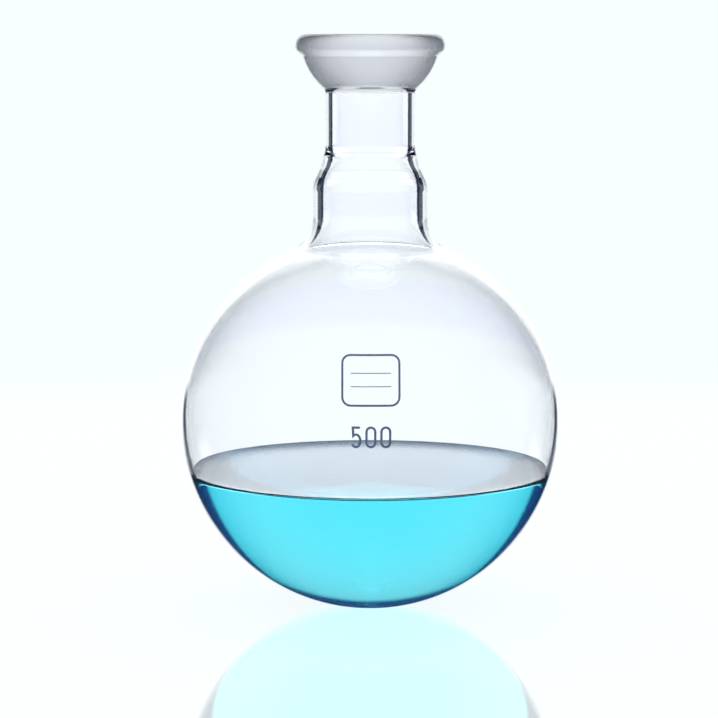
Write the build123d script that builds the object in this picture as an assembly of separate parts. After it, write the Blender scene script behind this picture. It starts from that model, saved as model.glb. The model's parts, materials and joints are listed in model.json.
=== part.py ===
from build123d import *
import os
from math import sqrt

os.makedirs("parts", exist_ok=True)

# A 500 ml round-bottom receiving flask, blown in one piece, with a spherical ground socket
# (size 35/20) on a stepped neck, and the liquid that it holds.
#
# The flask stands on the lowest point of its bulb. The origin is that point, and +Z is the
# axis of the flask, up through the neck. All lengths are in millimetres.

# Bulb
BULB_OD = 105.6
BULB_SIDE_WALL = 1.05  # blown thinnest at the widest place
BULB_END_WALL = 2.3  # under the neck and at the bottom
BULB_NECK_BLEND = 9.0  # outside radius where the bulb turns up into the neck
BULB_BORE_BLEND = 13.0  # the same corner on the inside

# Lower neck, the wide tube that grows out of the bulb
LOWER_NECK_OD = 31.86
LOWER_NECK_WALL = 2.85
LOWER_NECK_LENGTH = 15.74  # from where its wall meets the bulb to the shoulder

# Shoulder, where the wide tube is drawn in and welded to the narrow one
SHOULDER_LENGTH = 9.9
SHOULDER_BREAK_HEIGHT = 4.4  # the steep lower part of the slope
SHOULDER_BREAK_DRAW = 2.1  # how far the wall has come in at the end of that part
SHOULDER_ROUNDING = 8.0
WELD_BEAD = 0.1  # the weld stands into the bore by this much
WELD_DROP = 2.6  # the weld lies below the top of the shoulder
WELD_RISE = 1.4  # height in which the bead runs out into the bore
WELD_ROUNDING = 2.5

# Upper neck, the narrow tube that carries the socket
UPPER_NECK_OD = 24.9
UPPER_NECK_WALL = 1.95
UPPER_NECK_LENGTH = 18.5  # of straight bore, from the shoulder to the edge of the ground zone

# Spherical socket: its ground zone is part of a ball of the joint's nominal diameter
BALL_DIAMETER = 34.925
SOCKET_OD = 39.1  # of the larger ball that the outside of the socket is part of
SOCKET_DROP = 1.2  # its centre lies below the joint's, so the wall is thickest at the foot
SOCKET_NECK_BLEND = 2.0
GROUND_EDGE_ROUNDING = 0.6  # where the bore opens into the ground zone
RIM_BELOW_BALL_CENTRE = 0.9

# Lip, the thick rolled rim that a joint clamp grips
LIP_OD = 41.4
LIP_HEIGHT = 6.05
LIP_SLOPE_HEIGHT = 1.8  # of the sloping face under the lip
LIP_TOP_ROUNDING = 2.9
LIP_UNDER_ROUNDING = 1.6
MOUTH_ROUNDING = 0.25  # inner edge of the rim

# Liquid
LIQUID_DEPTH = 35.8
LIQUID_CLEARANCE = 0.1  # between the liquid and the glass

# Radii
BULB_R = BULB_OD / 2
BULB_INNER_R = BULB_R - BULB_SIDE_WALL
BULB_INNER_RISE = BULB_R - BULB_END_WALL
LOWER_NECK_R = LOWER_NECK_OD / 2
LOWER_BORE_R = LOWER_NECK_R - LOWER_NECK_WALL
UPPER_NECK_R = UPPER_NECK_OD / 2
UPPER_BORE_R = UPPER_NECK_R - UPPER_NECK_WALL
BALL_R = BALL_DIAMETER / 2
SOCKET_R = SOCKET_OD / 2
LIP_R = LIP_OD / 2


def rise(sphere_r, r):
    """Height between the centre of a sphere and the circle of radius r on it."""
    return sqrt(sphere_r**2 - r**2)


def inner_rise(r):
    """Height between the centre of the bulb and the circle of radius r on its inside."""
    return BULB_INNER_RISE * sqrt(1 - (r / BULB_INNER_R) ** 2)


# Heights
BULB_CENTRE = BULB_R
NECK_ROOT = BULB_CENTRE + rise(BULB_R, LOWER_NECK_R)
BORE_ROOT = BULB_CENTRE + inner_rise(LOWER_BORE_R)
SHOULDER_BOTTOM = NECK_ROOT + LOWER_NECK_LENGTH
SHOULDER_BREAK = SHOULDER_BOTTOM + SHOULDER_BREAK_HEIGHT
SHOULDER_TOP = SHOULDER_BOTTOM + SHOULDER_LENGTH
WELD = SHOULDER_TOP - WELD_DROP
GROUND_EDGE = SHOULDER_TOP + UPPER_NECK_LENGTH
BALL_CENTRE = GROUND_EDGE + rise(BALL_R, UPPER_BORE_R)
SOCKET_CENTRE = BALL_CENTRE - SOCKET_DROP
SOCKET_ROOT = SOCKET_CENTRE - rise(SOCKET_R, UPPER_NECK_R)
RIM = BALL_CENTRE - RIM_BELOW_BALL_CENTRE
CREASE = RIM - LIP_HEIGHT
LIQUID_LEVEL = BULB_END_WALL + LIQUID_DEPTH

# Everything below is drawn in a plane where x is the distance from the axis and y is the height.


def right_half(shape, radius, bottom, top):
    """The part of a shape on the axis that lies right of the axis and between two heights."""
    return shape & Pos(radius / 2, (bottom + top) / 2) * Rectangle(radius, top - bottom)


def half_disc(radius, centre, bottom, top):
    """The right part of a disc on the axis, between two heights."""
    return right_half(Pos(0, centre) * Circle(radius), radius, bottom, top)


def bulb_space(clearance, top):
    """The right part of the oval inside of the bulb, up to a height, clear of the glass."""
    radius = BULB_INNER_R - clearance
    half_height = BULB_INNER_RISE - clearance
    oval = Pos(0, BULB_CENTRE) * Ellipse(radius, half_height)
    return right_half(oval, radius, BULB_CENTRE - half_height, top)


def turned_outline(corners):
    """A face from its corners, each a (radius, height, rounding)."""
    points = [(radius, height) for radius, height, _ in corners]
    rounding = [rounding for _, _, rounding in corners]
    return make_face(FilletPolyline(*points, radius=rounding, close=True))


def rounded_at(face, radius, height, rounding):
    """The face with its corner nearest to (radius, height) rounded."""
    corner = face.vertices().sort_by_distance((radius, height))[0]
    return fillet(corner, rounding)


def outside_face():
    """Everything inside the outer skin of the glass."""
    neck = turned_outline(
        [
            (0, BULB_CENTRE, 0),
            (LOWER_NECK_R, BULB_CENTRE, 0),
            (LOWER_NECK_R, SHOULDER_BOTTOM, SHOULDER_ROUNDING),
            (LOWER_NECK_R - SHOULDER_BREAK_DRAW, SHOULDER_BREAK, SHOULDER_ROUNDING),
            (UPPER_NECK_R, SHOULDER_TOP, SHOULDER_ROUNDING),
            (UPPER_NECK_R, BALL_CENTRE - BALL_R / 2, 0),
            (0, BALL_CENTRE - BALL_R / 2, 0),
        ]
    )
    lip = turned_outline(
        [
            (0, CREASE, 0),
            (rise(SOCKET_R, SOCKET_CENTRE - CREASE), CREASE, 0),
            (LIP_R, CREASE + LIP_SLOPE_HEIGHT, LIP_UNDER_ROUNDING),
            (LIP_R, RIM, LIP_TOP_ROUNDING),
            (0, RIM, 0),
        ]
    )
    bulb = half_disc(BULB_R, BULB_CENTRE, 0, BULB_OD)
    socket = half_disc(SOCKET_R, SOCKET_CENTRE, SOCKET_CENTRE - SOCKET_R, CREASE)
    face = bulb + neck + socket + lip
    face = rounded_at(face, LOWER_NECK_R, NECK_ROOT, BULB_NECK_BLEND)
    return rounded_at(face, UPPER_NECK_R, SOCKET_ROOT, SOCKET_NECK_BLEND)


def inside_face():
    """The space inside the glass: bulb, bore and the ball of the ground zone."""
    bore = turned_outline(
        [
            (0, BULB_CENTRE, 0),
            (LOWER_BORE_R, BULB_CENTRE, 0),
            (LOWER_BORE_R, SHOULDER_BOTTOM, SHOULDER_ROUNDING),
            (UPPER_BORE_R - WELD_BEAD, WELD, WELD_ROUNDING),
            (UPPER_BORE_R, WELD + WELD_RISE, WELD_ROUNDING),
            (UPPER_BORE_R, BALL_CENTRE, 0),
            (0, BALL_CENTRE, 0),
        ]
    )
    ball = half_disc(BALL_R, BALL_CENTRE, BALL_CENTRE - BALL_R, BALL_CENTRE + BALL_R)
    face = bulb_space(0, BULB_OD) + bore + ball
    face = rounded_at(face, LOWER_BORE_R, BORE_ROOT, BULB_BORE_BLEND)
    return rounded_at(face, UPPER_BORE_R, GROUND_EDGE, GROUND_EDGE_ROUNDING)


def spun(face):
    """The solid that the face sweeps round the axis of the flask."""
    return revolve(Plane.XZ * face, Axis.Z)


def flask():
    """The glass, as one blown piece."""
    wall = outside_face() - inside_face()
    mouth_r = rise(BALL_R, RIM_BELOW_BALL_CENTRE)
    return spun(rounded_at(wall, mouth_r, RIM, MOUTH_ROUNDING))


def liquid():
    """The liquid at rest in the bulb, with a level top."""
    return spun(bulb_space(LIQUID_CLEARANCE, LIQUID_LEVEL))


export_step(flask(), "parts/flask.step")
export_step(liquid(), "parts/liquid.step")
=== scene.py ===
# %% [markdown]
# # A receiving flask of blown glass
#
# This lesson dresses a round-bottom laboratory flask: one blown piece of clear glass with a ground
# socket at the top, and the blue liquid that lies in it. Clear glass has no colour of its own. What
# the eye sees is the room, bent by the glass, so half of the work is an exact surface and the other
# half is the light round it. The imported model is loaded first, as a frame that nothing may change.

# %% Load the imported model
import json

import bpy
import numpy as np
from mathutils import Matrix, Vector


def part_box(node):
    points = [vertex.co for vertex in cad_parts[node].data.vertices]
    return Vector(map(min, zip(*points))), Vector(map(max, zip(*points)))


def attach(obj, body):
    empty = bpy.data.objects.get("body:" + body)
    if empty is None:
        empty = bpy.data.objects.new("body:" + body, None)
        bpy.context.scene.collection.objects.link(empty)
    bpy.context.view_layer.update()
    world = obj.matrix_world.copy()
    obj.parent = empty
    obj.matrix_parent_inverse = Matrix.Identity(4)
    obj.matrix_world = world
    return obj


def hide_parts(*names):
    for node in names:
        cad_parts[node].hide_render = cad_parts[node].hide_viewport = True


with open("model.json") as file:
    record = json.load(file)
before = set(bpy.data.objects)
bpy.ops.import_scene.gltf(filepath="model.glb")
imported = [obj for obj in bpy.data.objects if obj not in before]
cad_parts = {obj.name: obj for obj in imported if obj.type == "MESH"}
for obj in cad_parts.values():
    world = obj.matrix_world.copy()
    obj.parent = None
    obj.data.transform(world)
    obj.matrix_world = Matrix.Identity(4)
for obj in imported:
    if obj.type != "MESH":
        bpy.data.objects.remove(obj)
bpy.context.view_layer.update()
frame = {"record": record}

MM = 0.001  # Blender works in metres, and the lengths below are in millimetres

# %% [markdown]
# ## Sizes
#
# The rim's height, the liquid's level, the centre of the socket's ball and the bore of the neck are
# read from the imported model and its record. The rest, the bulb's size among them, are the sizes
# that a glass-blower would be given: wall thicknesses, lengths along the neck, and the roundings where
# one form runs into the next.

# %% Sizes of the flask, in millimetres
_, flask_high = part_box("flask")
_, liquid_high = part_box("liquid")
mounts = {mount["name"]: mount for mount in frame["record"]["mounts"]}

RIM = flask_high[2] / MM
BALL_CENTRE = mounts["joint_socket"]["pos_m"][2] / MM
UPPER_BORE_R = mounts["neck_bore"]["dims"]["r_mm"]
LIQUID_LEVEL = liquid_high[2] / MM

BULB_R = 52.8
BULB_SIDE_WALL = 1.05
BULB_END_WALL = 2.3
BULB_NECK_BLEND = 9.0
BULB_BORE_BLEND = 13.0

LOWER_NECK_R = 15.93
LOWER_NECK_WALL = 2.85
LOWER_NECK_LENGTH = 15.74

SHOULDER_LENGTH = 9.9
SHOULDER_BREAK_HEIGHT = 4.4
SHOULDER_BREAK_DRAW = 2.1
SHOULDER_ROUNDING = 8.0
WELD_BEAD = 0.1
WELD_DROP = 2.6
WELD_RISE = 1.4
WELD_ROUNDING = 2.5

UPPER_NECK_R = 12.45
BALL_R = 34.925 / 2
SOCKET_R = 19.55
SOCKET_DROP = 1.2
SOCKET_NECK_BLEND = 2.0
GROUND_EDGE_ROUNDING = 0.6

LIP_R = 20.7
LIP_HEIGHT = 6.05
LIP_SLOPE_HEIGHT = 1.8
LIP_TOP_ROUNDING = 2.9
LIP_UNDER_ROUNDING = 1.6
LIP_CREASE_ROUNDING = 0.5
MOUTH_ROUNDING = 0.25


def rise(ball_r, r):
    """Height between a ball's centre and the circle of radius r on it: sqrt(ball_r^2 - r^2)."""
    return np.sqrt(ball_r**2 - r**2)


BULB_CENTRE = BULB_R
BULB_INNER_R = BULB_R - BULB_SIDE_WALL
BULB_INNER_RISE = BULB_R - BULB_END_WALL
LOWER_BORE_R = LOWER_NECK_R - LOWER_NECK_WALL
SOCKET_CENTRE = BALL_CENTRE - SOCKET_DROP
NECK_ROOT = BULB_CENTRE + rise(BULB_R, LOWER_NECK_R)
SHOULDER_BOTTOM = NECK_ROOT + LOWER_NECK_LENGTH
SHOULDER_BREAK = SHOULDER_BOTTOM + SHOULDER_BREAK_HEIGHT
SHOULDER_TOP = SHOULDER_BOTTOM + SHOULDER_LENGTH
WELD = SHOULDER_TOP - WELD_DROP
CREASE = RIM - LIP_HEIGHT
print("rim", round(RIM, 2), "ball centre", round(BALL_CENTRE, 2), "liquid level", round(LIQUID_LEVEL, 2))

# %% [markdown]
# ## An outline made of arcs
#
# A blown flask is a solid of revolution, so it is fully given by one outline in the plane of radius
# and height. That outline is only arcs, joined by straight lines, and the oval inside of the bulb.
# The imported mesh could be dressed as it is, but glass shows each of its flat faces. Smooth shading
# alone isn't enough either: it guesses the normals from the faces, which bends light a little
# wrongly wherever a long face meets a short one. So each point also carries its true normal.


# %% Arcs and corners
def unit(v):
    """The vector divided by its own length."""
    return v / np.hypot(*v)


def arc(centre, start, end, step=2.5):
    """Points round a centre from start to end, the shorter way, with the outward normal at each.

    A point is centre + radius * (cos a, sin a), with a in equal steps of at most step degrees. The
    outline is walked with the material on its left, so the outward normal is (cos a, sin a) on a
    left turn and its opposite on a right turn. Columns: radius, height, and the normal's two parts.
    """
    centre, start, end = (np.asarray(p, float) for p in (centre, start, end))
    first = np.arctan2(*(start - centre)[::-1])
    last = np.arctan2(*(end - centre)[::-1])
    turn = (last - first + np.pi) % (2 * np.pi) - np.pi
    angle = first + turn * np.linspace(0, 1, max(int(np.degrees(abs(turn)) / step), 3) + 1)
    spoke = np.stack([np.cos(angle), np.sin(angle)], axis=1)
    return np.hstack([centre + np.hypot(*(start - centre)) * spoke, np.sign(turn) * spoke])


def corner(before, at, after, rounding):
    """The arc that rounds a corner between two straight sides.

    It touches each side at rounding / tan(half the angle) from the corner, and its centre lies on
    the bisector at rounding / sin(half the angle).
    """
    before, at, after = (np.asarray(p, float) for p in (before, at, after))
    back, ahead = unit(before - at), unit(after - at)
    half = np.arccos(back @ ahead) / 2
    centre = at + unit(back + ahead) * rounding / np.sin(half)
    reach = rounding / np.tan(half)
    return arc(centre, at + back * reach, at + ahead * reach)


# %% [markdown]
# ## Blends
#
# Where the bulb runs into the neck, the hot glass draws itself into a smooth hollow curve. It is the
# arc that touches both forms. Outside, the bulb is a ball, and the arc's centre follows from two
# distances. Inside, the bulb is an oval, because blown glass is thinnest at the widest place, so
# there the arc's centre is looked up along the oval.


# %% Blends between bulb and neck
def blend(ball_r, ball_z, tube_r, rounding, side):
    """The arc that runs a ball into a tube on the same axis, and the point where it leaves the ball.

    Its centre is rounding away from both: at radius tube_r + rounding, and at the height where the
    distance from the ball's centre is ball_r + rounding. side is +1 for a tube above the ball.
    """
    centre = np.array([tube_r + rounding, ball_z + side * rise(ball_r + rounding, tube_r + rounding)])
    on_ball = np.array([0, ball_z]) + ball_r * unit(centre - [0, ball_z])
    return arc(centre, on_ball, (tube_r, centre[1])), on_ball


def oval(angle, grow=0.0):
    """Points and outward normals on the inside of the bulb, grow mm outside it.

    Radius a cos t and height c + b sin t, with the normal along (cos t / a, sin t / b).
    """
    radius, height = BULB_INNER_R * np.cos(angle), BULB_CENTRE + BULB_INNER_RISE * np.sin(angle)
    spot = np.stack([radius, height], axis=1)
    normal = np.stack([np.cos(angle) / BULB_INNER_R, np.sin(angle) / BULB_INNER_RISE], axis=1)
    normal /= np.hypot(*normal.T)[:, None]
    return np.hstack([spot + grow * normal, normal])


LOOKUP_POINTS = 5001


def bore_blend(rounding):
    """The arc from the inside of the bulb into the lower bore, and the angle where it starts.

    Its centre is rounding from both, so it lies where the oval, grown by rounding, reaches the
    radius bore + rounding: that angle is read from a fine table.
    """
    angle = np.linspace(np.pi / 2, 0, LOOKUP_POINTS)
    start = np.interp(LOWER_BORE_R + rounding, oval(angle, rounding)[:, 0], angle)
    centre = oval(np.array([start]), rounding)[0, :2]
    on_oval = oval(np.array([start]))[0, :2]
    return arc(centre, on_oval, (LOWER_BORE_R, centre[1])), start


def walked_back(points):
    """The same arc from its other end. The material changes sides, so the normals turn over."""
    return points[::-1] * [1, 1, -1, -1]


# %% [markdown]
# ## The outline of the glass
#
# The walk starts under the bulb, climbs the outside to the rim, and comes back down the inside. On
# the way it meets what makes this flask what it is: the step where a wide tube is drawn in and
# welded to a narrow one, a bead of glass left inside by that weld, and a socket whose bowl is part
# of a ball, so that the mating joint can swing in it and still seal.


# %% Outline of the glass
BULB_STEP = 2  # degrees from point to point along the outside of the bulb
BULB_INSIDE_POINTS = 80


def glass_outline():
    """Outside from the bottom of the bulb to the rim, then inside from the rim to the bottom."""
    neck_root = (LOWER_NECK_R, NECK_ROOT)
    shoulder = (LOWER_NECK_R, SHOULDER_BOTTOM)
    shoulder_break = (LOWER_NECK_R - SHOULDER_BREAK_DRAW, SHOULDER_BREAK)
    shoulder_top = (UPPER_NECK_R, SHOULDER_TOP)
    bore_top = (UPPER_BORE_R, BALL_CENTRE)
    bore_foot = (UPPER_BORE_R, WELD + WELD_RISE)
    bead = (UPPER_BORE_R - WELD_BEAD, WELD)
    bore_shoulder = (LOWER_BORE_R, SHOULDER_BOTTOM)
    crease_r = rise(SOCKET_R, SOCKET_CENTRE - CREASE)
    mouth_r = rise(BALL_R, BALL_CENTRE - RIM)
    flank = (LIP_R, CREASE + LIP_SLOPE_HEIGHT)
    bulb_blend, bulb_end = blend(BULB_R, BULB_CENTRE, LOWER_NECK_R, BULB_NECK_BLEND, 1)
    bore_corner, bore_end = bore_blend(BULB_BORE_BLEND)
    bulb_inside = walked_back(oval(np.linspace(-np.pi / 2, bore_end, BULB_INSIDE_POINTS)))
    bulb_inside[-1, 0] = 0
    socket_blend, socket_start = blend(SOCKET_R, SOCKET_CENTRE, UPPER_NECK_R, SOCKET_NECK_BLEND, -1)
    ground_blend, ground_end = blend(BALL_R, BALL_CENTRE, UPPER_BORE_R, GROUND_EDGE_ROUNDING, -1)
    below_crease = (rise(SOCKET_R, SOCKET_CENTRE - CREASE + 1), CREASE - 1)
    crease = corner(below_crease, (crease_r, CREASE), flank, LIP_CREASE_ROUNDING)
    below_mouth = (rise(BALL_R, BALL_CENTRE - RIM + 1), RIM - 1)
    mouth = corner((LIP_R, RIM), (mouth_r, RIM), below_mouth, MOUTH_ROUNDING)
    outside = [
        arc((0, BULB_CENTRE), (0, 0), bulb_end, BULB_STEP),
        bulb_blend,
        corner(neck_root, shoulder, shoulder_break, SHOULDER_ROUNDING),
        corner(shoulder, shoulder_break, shoulder_top, SHOULDER_ROUNDING),
        corner(shoulder_break, shoulder_top, (UPPER_NECK_R, CREASE), SHOULDER_ROUNDING),
        walked_back(socket_blend),
        arc((0, SOCKET_CENTRE), socket_start, crease[0, :2]),
        crease,
        corner((crease_r, CREASE), flank, (LIP_R, RIM), LIP_UNDER_ROUNDING),
        corner(flank, (LIP_R, RIM), (0, RIM), LIP_TOP_ROUNDING),
    ]
    inside = [
        mouth,
        arc((0, BALL_CENTRE), mouth[-1, :2], ground_end),
        ground_blend,
        corner(bore_top, bore_foot, bead, WELD_ROUNDING),
        corner(bore_foot, bead, bore_shoulder, WELD_ROUNDING),
        corner(bead, bore_shoulder, (LOWER_BORE_R, BULB_CENTRE), SHOULDER_ROUNDING),
        walked_back(bore_corner),
        bulb_inside,
    ]
    return np.vstack(outside + inside)


GLASS = glass_outline()
print("glass outline:", len(GLASS), "points")

# %% [markdown]
# ## Turning an outline into a mesh
#
# Point i of the outline and angle j round the axis make one grid of vertices, worked out at once
# with numpy. The two ends of the outline lie on the axis, so each is a single vertex with a fan of
# triangles, and the skin is closed. The true normals go into the mesh as custom normals.

# %% Turn an outline about the axis
TURN_STEPS = 192
SAME_POINT = 1e-4  # mm: two points closer than this are one


def turned_mesh(name, outline, steps=TURN_STEPS):
    """A closed mesh from an outline whose first and last points lie on the axis.

    Vertex (i, j) is (r_i cos t_j, r_i sin t_j, z_i), and its normal is the outline's, turned by the
    same angle t_j = 2 pi j / steps.
    """
    outline = outline[np.r_[True, np.hypot(*np.diff(outline[:, :2], axis=0).T) > SAME_POINT]]
    turn = 2 * np.pi * np.arange(steps) / steps
    circle = np.stack([np.cos(turn), np.sin(turn)], axis=1)

    def swept(radius, height):
        flat = radius[:, None, None] * circle
        level = np.broadcast_to(height[:, None, None], flat.shape[:2] + (1,))
        return np.concatenate([flat, level], axis=2)

    rings = swept(outline[1:-1, 0], outline[1:-1, 1]).reshape(-1, 3)
    normals = swept(outline[1:-1, 2], outline[1:-1, 3]).reshape(-1, 3)
    poles = np.array([[0, 0, outline[0, 1]], [0, 0, outline[-1, 1]]])
    pole_normals = np.array([[0, 0, np.sign(outline[0, 3])], [0, 0, np.sign(outline[-1, 3])]])
    ring_count = len(outline) - 2
    index = np.arange(ring_count * steps).reshape(ring_count, steps)
    beside = np.roll(index, -1, axis=1)
    quads = np.stack([index[:-1], beside[:-1], beside[1:], index[1:]], axis=2).reshape(-1, 4)
    first, last = ring_count * steps, ring_count * steps + 1
    first_fan = np.stack([beside[0], index[0], np.full(steps, first)], axis=1)
    last_fan = np.stack([index[-1], beside[-1], np.full(steps, last)], axis=1)
    faces = quads.tolist() + first_fan.tolist() + last_fan.tolist()
    mesh = bpy.data.meshes.new(name)
    mesh.from_pydata((np.vstack([rings, poles]) * MM).tolist(), [], faces)
    mesh.shade_smooth()
    mesh.normals_split_custom_set_from_vertices(np.vstack([normals, pole_normals]).tolist())
    return mesh


def placed(mesh, material, body="root"):
    """The mesh as an object in the scene, at the origin, with its material and its body."""
    piece = bpy.data.objects.new(mesh.name, mesh)
    bpy.context.scene.collection.objects.link(piece)
    mesh.materials.append(material)
    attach(piece, body)
    return piece


# %% [markdown]
# ## Shader arithmetic
#
# A finish that changes over a surface is a formula of the place on it. The class below lets that
# formula be written as plain arithmetic: each operator adds the Math node that does it.


# %% A small language for shader nodes
class Wire:
    """One output of a shader node. Arithmetic on it adds Math nodes to the same node tree."""

    def __init__(self, tree, output=None):
        self.tree = tree
        self.output = output

    def node(self, kind, inputs=(), output=0, **settings):
        """A new node of any kind: its settings first, then the values or wires of its inputs."""
        node = self.tree.nodes.new(kind)
        for name, value in settings.items():
            setattr(node, name, value)
        for name, value in dict(inputs).items():
            if isinstance(value, Wire):
                self.tree.links.new(value.output, node.inputs[name])
            else:
                node.inputs[name].default_value = value
        return Wire(self.tree, node.outputs[output] if len(node.outputs) else None)

    def math(self, operation, *values):
        """A Math node on these values, which are numbers or wires."""
        return self.node("ShaderNodeMath", dict(enumerate(values)), operation=operation)

    def __add__(self, other):
        return self.math("ADD", self, other)

    def __sub__(self, other):
        return self.math("SUBTRACT", self, other)

    def __mul__(self, other):
        return self.math("MULTIPLY", self, other)

    def __rsub__(self, other):
        return self.math("SUBTRACT", other, self)

    __radd__ = __add__
    __rmul__ = __mul__

    def mix(self, share, first, second):
        """A colour between two, each a wire or red, green and blue."""
        first, second = (c if isinstance(c, Wire) else (*c, 1) for c in (first, second))
        inputs = {"Factor": share, 6: first, 7: second}
        return self.node("ShaderNodeMix", inputs, output=2, data_type="RGBA")

    def between(self, low, high, at_low=0.0, at_high=1.0):
        """A smooth step: at_low up to low, at_high from high on, and an S-curve between them."""
        values = {"Value": self, "From Min": low, "From Max": high, "To Min": at_low, "To Max": at_high}
        return self.node("ShaderNodeMapRange", values, interpolation_type="SMOOTHSTEP")


def new_material(name):
    """An empty material, and a wire to start its nodes from."""
    material = bpy.data.materials.new(name)
    material.use_nodes = True
    material.node_tree.nodes.clear()
    return material, Wire(material.node_tree)


def finish_material(start, surface, volume=None):
    """The output node, with the surface and, where there is one, the volume."""
    inputs = {"Surface": surface}
    if volume:
        inputs["Volume"] = volume
    start.node("ShaderNodeOutputMaterial", inputs)


# %% [markdown]
# ## Clear glass with a ground zone
#
# Borosilicate glass has a refractive index of 1.474. The bowl of the socket is ground with fine
# grit, so it is matt, and it is the only matt place. A second piece could carry that finish, but a
# seam would show in clear glass. The ground zone is exactly the part of the skin that lies on the
# joint's ball, so the distance from the ball's centre says where it is.

# %% Material of the glass
GLASS_IOR = 1.474
GROUND_ROUGHNESS = 0.55
GROUND_GRAIN = 0.12  # how much the roughness varies from grain to grain
GROUND_GRAIN_SCALE = 2500.0
GROUND_EDGE = BALL_R + 0.1
GROUND_FADE = 0.3  # mm past that edge over which the grinding ends
GROUND_TINT = (0.82, 0.8, 0.83)


def clear_glass():
    """Clear glass, matt where the skin lies on the joint's ball."""
    material, start = new_material("borosilicate_glass")
    place = start.node("ShaderNodeTexCoord", output="Object")
    ends = {0: place, 1: (0, 0, BALL_CENTRE * MM)}
    from_centre = start.node("ShaderNodeVectorMath", ends, output="Value", operation="DISTANCE")
    ground = from_centre.between(GROUND_EDGE * MM, (GROUND_EDGE + GROUND_FADE) * MM, 1.0, 0.0)
    noise = {"Vector": place, "Scale": GROUND_GRAIN_SCALE, "Detail": 3.0}
    grain = start.node("ShaderNodeTexNoise", noise)
    roughness = ground * (GROUND_ROUGHNESS + (grain - 0.5) * GROUND_GRAIN)
    tint = start.mix(ground, (1, 1, 1), GROUND_TINT)
    surface = start.node(
        "ShaderNodeBsdfPrincipled",
        {"Base Color": tint, "Roughness": roughness, "IOR": GLASS_IOR, "Transmission Weight": 1.0},
    )
    finish_material(start, surface)
    return material


flask = placed(turned_mesh("flask_glass", GLASS), clear_glass())
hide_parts("flask")
print("flask:", len(flask.data.polygons), "faces")

# %% [markdown]
# ## The liquid
#
# A liquid wets clean glass, so its level top climbs the wall in a short curve, the meniscus. Light
# must go straight from glass to liquid with no air between them. The liquid's mesh therefore
# reaches a little way into the wall: bending into the liquid and out of the glass, one after the
# other, adds up to the one bend at the real boundary.

# %% Outline of the liquid
INTO_WALL = 0.15
MENISCUS_RISE = 1.3
MENISCUS_REACH = 2.8
LIQUID_POINTS = 60  # along the wall, and as many from the wall to the axis


def liquid_outline():
    """Up the wall from the bottom, over the meniscus and in to the axis.

    Past the wall the top's height is level + rise * e^(-distance from the wall / reach).
    """
    edge_z = LIQUID_LEVEL + MENISCUS_RISE
    edge_angle = -np.arcsin((BULB_CENTRE - edge_z) / BULB_INNER_RISE)
    wall = oval(np.linspace(-np.pi / 2, edge_angle, LIQUID_POINTS), INTO_WALL)
    wall[0, 0] = 0
    edge_r = wall[-1, 0]
    from_wall = edge_r * np.linspace(0.001, 1, LIQUID_POINTS) ** 3  # closest together at the wall
    climb = MENISCUS_RISE * np.exp(-from_wall / MENISCUS_REACH)
    slope = climb / MENISCUS_REACH
    normal = np.stack([-slope, np.ones_like(slope)], axis=1) / np.hypot(slope, 1)[:, None]
    top = np.hstack([np.stack([edge_r - from_wall, LIQUID_LEVEL + climb], axis=1), normal])
    return np.vstack([wall, top])


# %% [markdown]
# ## A dyed liquid
#
# The blue is not on the surface: the dye takes red out of the light along its way, so a long path
# through the middle is deeper in colour than a short one at the edge. A coloured surface would look
# like coloured glass, the same everywhere, so the dye is given as absorption in the volume.

# %% Material of the liquid
LIQUID_IOR = 1.333
LIQUID_COLOR = (0.0, 0.93, 1.0)
LIQUID_DENSITY = 23.0  # per metre: how fast the dye takes red out of the light


def blue_liquid():
    """Water with a dye that takes out red light along the way."""
    material, start = new_material("blue_water")
    surface = start.node(
        "ShaderNodeBsdfPrincipled",
        {"Base Color": (1, 1, 1, 1), "Roughness": 0.0, "IOR": LIQUID_IOR, "Transmission Weight": 1.0},
    )
    dye = {"Color": (*LIQUID_COLOR, 1), "Density": LIQUID_DENSITY}
    volume = start.node("ShaderNodeVolumeAbsorption", dye)
    finish_material(start, surface, volume)
    return material


liquid = placed(turned_mesh("liquid_body", liquid_outline()), blue_liquid())
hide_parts("liquid")
print("liquid:", len(liquid.data.polygons), "faces")

# %% [markdown]
# ## Printed marks
#
# Laboratory glass carries its capacity and a field to write on in a fired enamel: opaque paint that
# is melted onto the glass, a few hundredths of a millimetre thick. An image on the glass would do,
# but a real layer keeps its edge from close by and from the back, where it shows through the glass.
# Every mark is a stroke, so one function makes them all: a flat band along a path, bent onto the
# bulb.


# %% Paths of strokes
STROKE_STEP = 0.4


def runs(*points):
    """Points along straight runs between the given ones, at most a stroke step apart."""
    points = np.array(points, float)
    pieces = [points[:1]]
    for start, end in zip(points[:-1], points[1:]):
        count = max(int(np.hypot(*(end - start)) / STROKE_STEP), 1)
        pieces.append(start + (end - start) * np.arange(1, count + 1)[:, None] / count)
    return np.vstack(pieces)


def sides(path, closed):
    """For each point of a path, the sideways vector that keeps a stroke's width in its bends.

    With n and m the unit normals before and after the point, it is (n + m) / (1 + n . m).
    """
    step = np.roll(path, -1, axis=0) - path
    if not closed:
        step[-1] = step[-2]
    normal = np.stack([-step[:, 1], step[:, 0]], axis=1) / np.hypot(*step.T)[:, None]
    before = np.roll(normal, 1, axis=0)
    if not closed:
        before[0] = normal[0]
    return (normal + before) / (1 + (normal * before).sum(axis=1))[:, None]


# %% [markdown]
# ## Bands on a ball
#
# A flat drawing can't lie on a ball without some stretching, and a shrink-wrap would leave the
# layer's thickness to chance. Here each point of the drawing becomes two angles, one up and one
# round the axis, chosen so that lengths stay true along both middle lines of the drawing.


# %% Strokes on the bulb
ENAMEL_THICKNESS = 0.05
ENAMEL_SUNK = 0.02  # how deep the layer is melted into the glass


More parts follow.
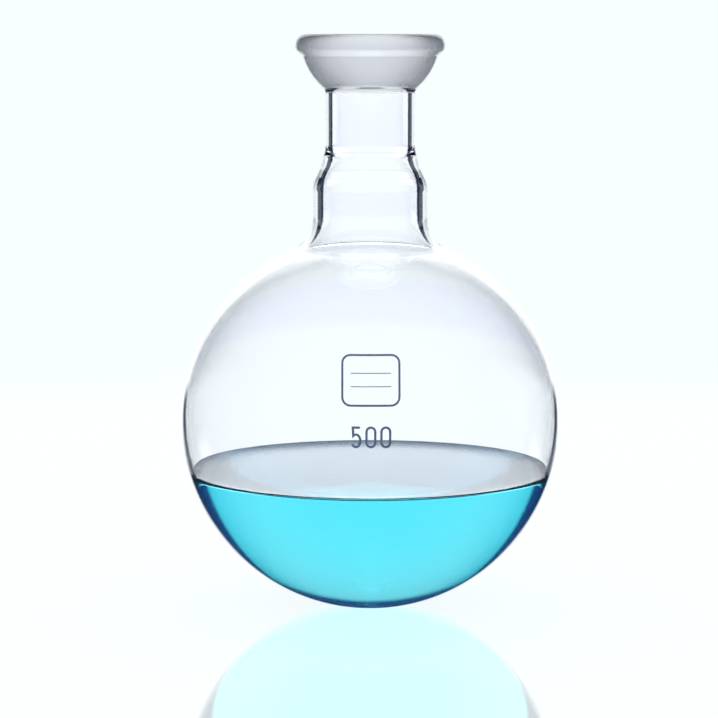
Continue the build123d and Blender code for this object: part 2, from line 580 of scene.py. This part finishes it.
def on_bulb(flat, lift, height):
    """Flat places (x, y) bent onto the front of the bulb, lift mm outside it.

    The angle up is the height's own plus y / R, and the angle round the axis is x / (R cos up).
    """
    up = np.arcsin((height - BULB_CENTRE) / BULB_R) + flat[:, 1] / BULB_R
    round_axis = flat[:, 0] / (BULB_R * np.cos(up))
    reach = BULB_R + lift
    return np.stack(
        [
            reach * np.cos(up) * np.sin(round_axis),
            -reach * np.cos(up) * np.cos(round_axis),
            BULB_CENTRE + reach * np.sin(up),
        ],
        axis=1,
    )


def stroke(path, width, height, closed=False):
    """A closed band of enamel: four rails along the path, with faces between them."""
    aside = sides(path, closed) * width / 2
    outer, inner = ENAMEL_THICKNESS - ENAMEL_SUNK, -ENAMEL_SUNK
    rails = [
        on_bulb(path + aside, outer, height),
        on_bulb(path - aside, outer, height),
        on_bulb(path - aside, inner, height),
        on_bulb(path + aside, inner, height),
    ]
    count = len(path)
    index = np.arange(4 * count).reshape(4, count)
    ahead = np.roll(index, -1, axis=1)
    last = count if closed else count - 1
    around = np.roll(index, -1, axis=0)
    faces = np.stack([index, around, np.roll(ahead, -1, axis=0), ahead], axis=2)[:, :last].reshape(-1, 4)
    if not closed:
        faces = np.vstack([faces, index[::-1, 0], index[:, -1]])
    return np.vstack(rails), faces


def joined(strokes):
    """Several strokes as one list of points and one of faces."""
    starts = np.cumsum([0] + [len(points) for points, _ in strokes[:-1]])
    points = np.vstack([points for points, _ in strokes])
    return points, np.vstack([faces + start for (_, faces), start in zip(strokes, starts)])


# %% [markdown]
# ## The number and the field
#
# The capacity is a plain number, with strokes of one width and round bowls, as a stencil cutter
# draws it. Above it is a field to write on, an outline with two rules. A font could give the
# digits, but its outlines come as filled shapes, and here everything is a path for the one stroke.

# %% Number and field
DIGIT_HEIGHT = 5.7
DIGIT_WIDTH = 2.9
DIGIT_PITCH = 3.9
DIGIT_STROKE = 0.62
BOWL_SHARE = 0.64  # height of the bowl of a five, of half the digit's height
BOWL_SWEEP = (128, -148)  # degrees at which it starts and ends
BAR_END = 0.9  # how far the top bar reaches to the right, and the stem lies to the left,
STEM_SIDE = 0.72  # of half the digit's width
NUMBER_HEIGHT = 55.9  # of its middle, above the bottom of the bulb
FIELD_HEIGHT = 70.6
FIELD_SIZE = (15.0, 13.6)
FIELD_CORNER = 2.2
FIELD_STROKE = 0.55
RULE_STROKE = 0.22
RULE_GAP = 3.6


def turn_about(centre, radii, start, end, count=28):
    """Points on an oval from one angle to another, in degrees."""
    angle = np.radians(np.linspace(start, end, count))
    return np.array(centre) + np.array(radii) * np.stack([np.cos(angle), np.sin(angle)], axis=1)


def five():
    """Top bar from the right, stem down, and a bowl that swings round to the lower left."""
    half_w = (DIGIT_WIDTH - DIGIT_STROKE) / 2
    half_h = (DIGIT_HEIGHT - DIGIT_STROKE) / 2
    bowl_rise = half_h * BOWL_SHARE
    bowl = turn_about((0, bowl_rise - half_h), (half_w, bowl_rise), *BOWL_SWEEP)
    stem = runs((half_w * BAR_END, half_h), (-half_w * STEM_SIDE, half_h), bowl[0])
    return np.vstack([stem[:-1], bowl])


def loop_of(arcs):
    """A closed path through arcs, in order, with straight runs from each to the next."""
    after = arcs[1:] + arcs[:1]
    return np.vstack([np.vstack([a[:-1], runs(a[-1], b[0])[:-1]]) for a, b in zip(arcs, after)])


def nought():
    """A loop with straight sides and round ends."""
    half_w = (DIGIT_WIDTH - DIGIT_STROKE) / 2
    straight = (DIGIT_HEIGHT - DIGIT_STROKE) / 2 - half_w
    top = turn_about((0, straight), (half_w, half_w), 0, 180)
    bottom = turn_about((0, -straight), (half_w, half_w), 180, 360)
    return loop_of([top, bottom])


def field_outline():
    """A rectangle with round corners."""
    inner = np.array(FIELD_SIZE) / 2 - FIELD_CORNER
    radii = (FIELD_CORNER, FIELD_CORNER)
    quarters = (((1, 1), 0), ((-1, 1), 90), ((-1, -1), 180), ((1, -1), 270))
    return loop_of([turn_about(inner * side, radii, a, a + 90, 10) for side, a in quarters])


def printed_marks():
    """All strokes of the print."""
    shift = np.array([DIGIT_PITCH, 0])
    rule = FIELD_SIZE[0] / 2 - FIELD_CORNER
    strokes = [
        stroke(five() - shift, DIGIT_STROKE, NUMBER_HEIGHT),
        stroke(nought(), DIGIT_STROKE, NUMBER_HEIGHT, closed=True),
        stroke(nought() + shift, DIGIT_STROKE, NUMBER_HEIGHT, closed=True),
        stroke(field_outline(), FIELD_STROKE, FIELD_HEIGHT, closed=True),
    ]
    for y in (-RULE_GAP / 2, RULE_GAP / 2):
        strokes.append(stroke(runs((-rule, y), (rule, y)), RULE_STROKE, FIELD_HEIGHT))
    return joined(strokes)


# %% [markdown]
# ## Enamel
#
# Fired enamel is an opaque glass paint: fairly matt, dark slate blue, and a little uneven where the
# powder melted. A plain colour would do from afar, so a fine noise in its brightness is enough.

# %% Material of the print
ENAMEL_COLOR = (0.105, 0.148, 0.275)
ENAMEL_ROUGHNESS = 0.45
ENAMEL_GRAIN_SCALE = 2600.0


def enamel():
    """Fired slate-blue paint, a little uneven."""
    material, start = new_material("enamel_print")
    place = start.node("ShaderNodeTexCoord", output="Object")
    noise = {"Vector": place, "Scale": ENAMEL_GRAIN_SCALE, "Detail": 4.0}
    speckle = start.node("ShaderNodeTexNoise", noise).between(0.3, 0.7, 0.8, 1.25)
    tone = {"Color": (*ENAMEL_COLOR, 1), "Value": speckle}
    shade = start.node("ShaderNodeHueSaturation", tone)
    paint = {"Base Color": shade, "Roughness": ENAMEL_ROUGHNESS}
    finish_material(start, start.node("ShaderNodeBsdfPrincipled", paint))
    return material


mark_points, mark_faces = printed_marks()
mark_mesh = bpy.data.meshes.new("enamel_print")
mark_mesh.from_pydata((mark_points * MM).tolist(), [], mark_faces.tolist())
marks = placed(mark_mesh, enamel())
print("print:", len(marks.data.polygons), "faces")

# %% [markdown]
# ## Camera
#
# The camera stands level with the rim and looks a little down, so the rim is seen edge-on and the
# liquid's top as a narrow ellipse. It is far away and has a long lens, as glassware is pictured: a
# near camera would look down into the bulb and up at the rim at the same time.

# %% Camera
CAMERA_DISTANCE = 737.0
CAMERA_HEIGHT = 160.9
CAMERA_PITCH = 7.03
CAMERA_SIDE = -3.1
SENSOR = 36.0
FOCAL = 133.0


def make_camera():
    """A camera in front of the flask, looking along +Y and down by its pitch."""
    data = bpy.data.cameras.new("camera")
    data.sensor_width = SENSOR
    data.lens = FOCAL
    camera = bpy.data.objects.new("camera", data)
    camera.location = np.array([CAMERA_SIDE, -CAMERA_DISTANCE, CAMERA_HEIGHT]) * MM
    camera.rotation_euler = (np.radians(90 - CAMERA_PITCH), 0, 0)
    bpy.context.scene.collection.objects.link(camera)
    bpy.context.scene.camera = camera
    return camera


camera = make_camera()
print("camera:", CAMERA_DISTANCE, "mm away,", FOCAL, "mm lens")

# %% [markdown]
# ## Studio
#
# Glass is lit from behind: a bright screen makes it clear, and the dark room beside the screen
# draws its edges. A lamp and a board could stand behind the flask, but then the look would hold
# from one side only. The flask turns on a table in front of a fixed camera and screen, so here the
# screen hangs on the camera, as a large ball round the flask that only bent and mirrored light
# meets. Its edges are angles, and they are soft, because a sharp edge would show as a line in the
# glass.

# %% Screen colours and edges
SCREEN_RADIUS = 1.6  # metres
SCREEN_WHITE = (1.08, 1.15, 1.19)
SCREEN_NECK = (1.03, 1.09, 1.2)
SIDE_BLUE = (0.4, 1.02, 1.15)
SIDE_DARK = (0.02, 0.08, 0.3)
ROOM_DARK = (0.02, 0.03, 0.06)
UNDER_DARK = (0.08, 0.14, 0.22)

# Pairs are the degrees between which an edge fades: to the side, or upwards for the rest
WIDE = (38, 43)
BLUE = (15, 42)
RING = (4, 14)
MIRROR_WIDE = (42, 52)  # for what is mirrored inside the bulb
TOP = (43, 50)
NECK_START = (3, 4)
NECK_END = (7, 9)
RING_TOP = (0.5, 2.5)
CLEAR_UNDER = (-45, -30)
LIQUID_UNDER = (-11, -6)
MIRROR_UNDER = (0, 8)
NARROW_UNDER = (-20, -12)
NARROW_RISE = (0.5, 4.5)  # the narrow screen grows here from its low to its high width
NARROW_LOW = 18
NARROW_HIGH = 27
NARROW_SOFT = 4

RING_GAIN = 0.5  # extra light for bent rays away from the middle
MIRROR_GAIN = 0.9  # extra light for rays mirrored inside the bulb
print("screen: wide to", WIDE, "degrees, narrow to", NARROW_LOW, "to", NARROW_HIGH)

# %% [markdown]
# ## Each ray sees its own screen
#
# A ray counts how often it was mirrored and how many surfaces it has passed. Two surfaces are one
# wall, so a ray that has passed three has been inside the bulb, and one that has passed five has
# been through the liquid. The counts say what it sees, as cards and dark cloths round a real flask
# would. Through empty glass the screen is wide and white. Through the liquid it turns blue to the
# sides, and dark below. In a mirror it is narrow, so the walls of the neck, which mirror light at a
# low angle, are drawn as dark lines.


# %% What a ray sees
def at_least(count, least):
    """1 where a ray's whole-numbered count is at least this much, and 0 where it is less."""
    return count.between(least - 0.75, least - 0.25)


def directions(start):
    """Degrees to the side of straight ahead, and degrees upwards, in the camera's frame."""
    place = start.node("ShaderNodeTexCoord", output="Object")
    parts = start.node("ShaderNodeSeparateXYZ", {"Vector": place}).output.node.outputs
    across, up, behind = (Wire(start.tree, parts[axis]) for axis in "XYZ")
    ahead = 0.0 - behind
    to_side = start.math("DEGREES", start.math("ABSOLUTE", start.math("ARCTAN2", across, ahead)))
    level = start.math("SQRT", across * across + ahead * ahead)
    return to_side, start.math("DEGREES", start.math("ARCTAN2", up, level))


def bent_color(start, to_side, to_top, crossings):
    """What a ray sees that was only bent, through empty glass or through the liquid."""
    behind_neck = to_top.between(*NECK_START) * to_top.between(*NECK_END, 1.0, 0.0)
    white = start.mix(behind_neck, SCREEN_WHITE, SCREEN_NECK)
    wide = to_side.between(*WIDE, 1.0, 0.0) * to_top.between(*TOP, 1.0, 0.0)
    clear = start.mix(wide * to_top.between(*CLEAR_UNDER), ROOM_DARK, white)
    dyed = start.mix(wide, SIDE_DARK, start.mix(to_side.between(*BLUE), white, SIDE_BLUE))
    dyed = start.mix(to_top.between(*LIQUID_UNDER), UNDER_DARK, dyed)
    return start.mix(at_least(crossings, 5), clear, dyed)


def mirrored_color(start, to_side, to_top, mirrors, crossings):
    """What a mirrored ray sees: a narrow screen outside the bulb, and a wide one inside it.

    The narrow screen has no top for what the table or the outer skin mirrors. The wide one starts
    at eye level, but the table's image of the liquid, mirrored twice, sees it all.
    """
    edge = to_top.between(*NARROW_RISE, NARROW_LOW, NARROW_HIGH)
    narrow = (to_side - edge).between(-NARROW_SOFT, NARROW_SOFT, 1.0, 0.0)
    outside = 1.0 - at_least(crossings, 1)
    narrow = narrow * start.math("MAXIMUM", to_top.between(*TOP, 1.0, 0.0), outside)
    narrow = narrow * to_top.between(*NARROW_UNDER)
    table_image = at_least(mirrors, 2) * (1.0 - at_least(crossings, 8))
    high = start.math("MAXIMUM", to_top.between(*MIRROR_UNDER), table_image)
    inside = at_least(crossings, 3)
    seen = narrow * (1.0 - inside) + to_side.between(*MIRROR_WIDE, 1.0, 0.0) * high * inside
    return start.mix(seen, ROOM_DARK, SCREEN_WHITE)


# %% [markdown]
# ## The screen itself
#
# The ball's Object coordinates are directions in the camera's frame, because it hangs on the camera
# with its centre at the flask. It gives off light, but to the camera and to matt surfaces it isn't
# there: it is only what glass shows.


# %% Screen
def staged(name, mesh, material):
    """An object that belongs to the studio and not to the flask."""
    thing = bpy.data.objects.new(name, mesh)
    bpy.context.scene.collection.objects.link(thing)
    mesh.materials.append(material)
    return thing


def ball_outline(radius, step=5):
    """A half circle from the bottom of a ball to its top."""
    below = arc((0, 0), (0, -radius), (radius, 0), step)
    return np.vstack([below, arc((0, 0), (radius, 0), (0, radius), step)])


def screen_light():
    """Each kind of ray sees its own screen, by the counts that it brings."""
    material, start = new_material("screen")
    to_side, to_top = directions(start)
    counts = start.node("ShaderNodeLightPath").output.node.outputs
    mirrors = Wire(start.tree, counts["Glossy Depth"])
    crossings = Wire(start.tree, counts["Transmission Depth"])
    mirrored = at_least(mirrors, 1)
    bent = bent_color(start, to_side, to_top, crossings)
    bounced = mirrored_color(start, to_side, to_top, mirrors, crossings)
    ring = to_side.between(*RING) * to_top.between(*RING_TOP, 1.0, 0.0)
    ring_gain = RING_GAIN * ring * (1.0 - mirrored)
    strength = 1.0 + ring_gain + MIRROR_GAIN * mirrored * at_least(crossings, 3)
    light = {"Color": start.mix(mirrored, bent, bounced), "Strength": strength}
    finish_material(start, start.node("ShaderNodeEmission", light))
    material.cycles.emission_sampling = "NONE"
    return material


screen = staged("screen", turned_mesh("screen", ball_outline(SCREEN_RADIUS / MM), 48), screen_light())
screen.parent = camera
screen.location = (0, 0, -CAMERA_DISTANCE * MM)
screen.visible_camera = False
screen.visible_diffuse = False
screen.visible_shadow = False
screen.visible_volume_scatter = False
print("screen:", len(screen.data.polygons), "faces")

# %% [markdown]
# ## Table
#
# The table is a pale polished sheet that mirrors the flask. It fades out before its edge shows, into
# a background of the same white. Most of its colour is plain, as on an overlit table, and the rest
# takes the flask's soft shadow.

# %% Table
BACKGROUND = (0.93, 1.0, 1.0)
TABLE_RADIUS = 620.0
TABLE_FADE = (380.0, 600.0)  # mm from the flask between which the sheet fades out
TABLE_COLOR = (0.93, 1.0, 1.0)
TABLE_PLAIN = 0.85  # share of the table's colour that no shadow darkens
TABLE_MIRROR = 0.33
TABLE_ROUGHNESS = 0.03


def seen_directly(start):
    """1 for rays from the camera, a mirror or through glass, and 0 for rays that carry light."""
    sockets = start.node("ShaderNodeLightPath").output.node.outputs
    names = ("Is Camera Ray", "Is Glossy Ray", "Is Transmission Ray")
    direct, glossy, through = (Wire(start.tree, sockets[name]) for name in names)
    return start.math("MAXIMUM", direct, start.math("MAXIMUM", glossy, through))


def table_top():
    """Pale polished sheet, clear from where it starts to fade."""
    material, start = new_material("table")
    place = start.node("ShaderNodeTexCoord", output="Object")
    far = start.node("ShaderNodeVectorMath", {0: place}, output="Value", operation="LENGTH")
    fade = far.between(*(edge * MM for edge in TABLE_FADE))
    matt = start.node("ShaderNodeBsdfDiffuse", {"Color": (*TABLE_COLOR, 1)})
    plain = start.node("ShaderNodeEmission", {"Color": (*BACKGROUND, 1), "Strength": 1.0})
    sheet = start.node("ShaderNodeMixShader", {0: seen_directly(start) * TABLE_PLAIN, 1: matt, 2: plain})
    gloss = {"Color": (1, 1, 1, 1), "Roughness": TABLE_ROUGHNESS}
    mirror = start.node("ShaderNodeBsdfGlossy", gloss)
    polished = start.node("ShaderNodeMixShader", {0: TABLE_MIRROR, 1: sheet, 2: mirror})
    clear = start.node("ShaderNodeBsdfTransparent")
    finish_material(start, start.node("ShaderNodeMixShader", {0: fade, 1: polished, 2: clear}))
    return material


def disc_mesh(name, radius, steps=96):
    """A flat disc at height 0: one fan round its centre."""
    turn = 2 * np.pi * np.arange(steps) / steps
    ring = np.stack([np.cos(turn), np.sin(turn), 0 * turn], axis=1) * radius * MM
    index = np.arange(steps)
    fan = np.stack([np.full(steps, steps), index, np.roll(index, -1)], axis=1)
    mesh = bpy.data.meshes.new(name)
    mesh.from_pydata(np.vstack([ring, [0, 0, 0]]).tolist(), [], fan.tolist())
    return mesh


table = staged("table", disc_mesh("table", TABLE_RADIUS), table_top())
table.visible_transmission = False
table.visible_glossy = False
print("table:", len(table.data.polygons), "faces")

# %% [markdown]
# ## Background
#
# The background is one pale colour for everything that looks at it, and a soft even light for the
# rest. The two are kept apart, so that making the background paler never adds light to the flask.

# %% Background
FILL = 0.85


def make_world():
    """The background's white for the camera, and an even fill for everything else."""
    world = bpy.data.worlds.new("studio")
    world.use_nodes = True
    world.node_tree.nodes.clear()
    start = Wire(world.node_tree)
    seen = start.node("ShaderNodeBackground", {"Color": (*BACKGROUND, 1), "Strength": 1.0})
    fill = start.node("ShaderNodeBackground", {"Color": (1, 1, 1, 1), "Strength": FILL})
    both = start.node("ShaderNodeMixShader", {0: seen_directly(start), 1: fill, 2: seen})
    start.node("ShaderNodeOutputWorld", {"Surface": both})
    bpy.context.scene.world = world


make_world()
print("world: background", BACKGROUND, "fill", FILL)

# %% [markdown]
# ## Lamp
#
# A soft box hangs over the table. It only shapes the shadow under the bulb: glass itself shows what
# is mirrored and bent, so the lamp is hidden from those rays.

# %% Lamp
LAMP_SIZE = 0.6  # metres, as are its places
LAMP_BEHIND = 0.25
LAMP_HEIGHT = 1.0
LAMP_POWER = 3.0


def make_lamp():
    """One large soft lamp above and behind the flask."""
    data = bpy.data.lights.new("overhead", "AREA")
    data.size = LAMP_SIZE
    data.energy = LAMP_POWER
    lamp = bpy.data.objects.new("overhead", data)
    lamp.location = (0, LAMP_BEHIND, LAMP_HEIGHT)
    lamp.visible_glossy = False
    lamp.visible_transmission = False
    bpy.context.scene.collection.objects.link(lamp)


make_lamp()
print("lamp:", LAMP_POWER, "W,", LAMP_SIZE, "m across")

# %% [markdown]
# ## Paths of light
#
# A ray that crosses the flask meets two walls, and the liquid between them, so it needs many more
# bounces than it would beside solid things. With too few, thick glass turns black.

# %% Bounces
GLASS_BOUNCES = 24
MIRROR_BOUNCES = 8

bpy.context.scene.view_settings.view_transform = "Standard"
bpy.context.scene.cycles.max_bounces = GLASS_BOUNCES
bpy.context.scene.cycles.transmission_bounces = GLASS_BOUNCES
bpy.context.scene.cycles.glossy_bounces = MIRROR_BOUNCES
print("bounces:", GLASS_BOUNCES, "through glass,", MIRROR_BOUNCES, "off mirrors")
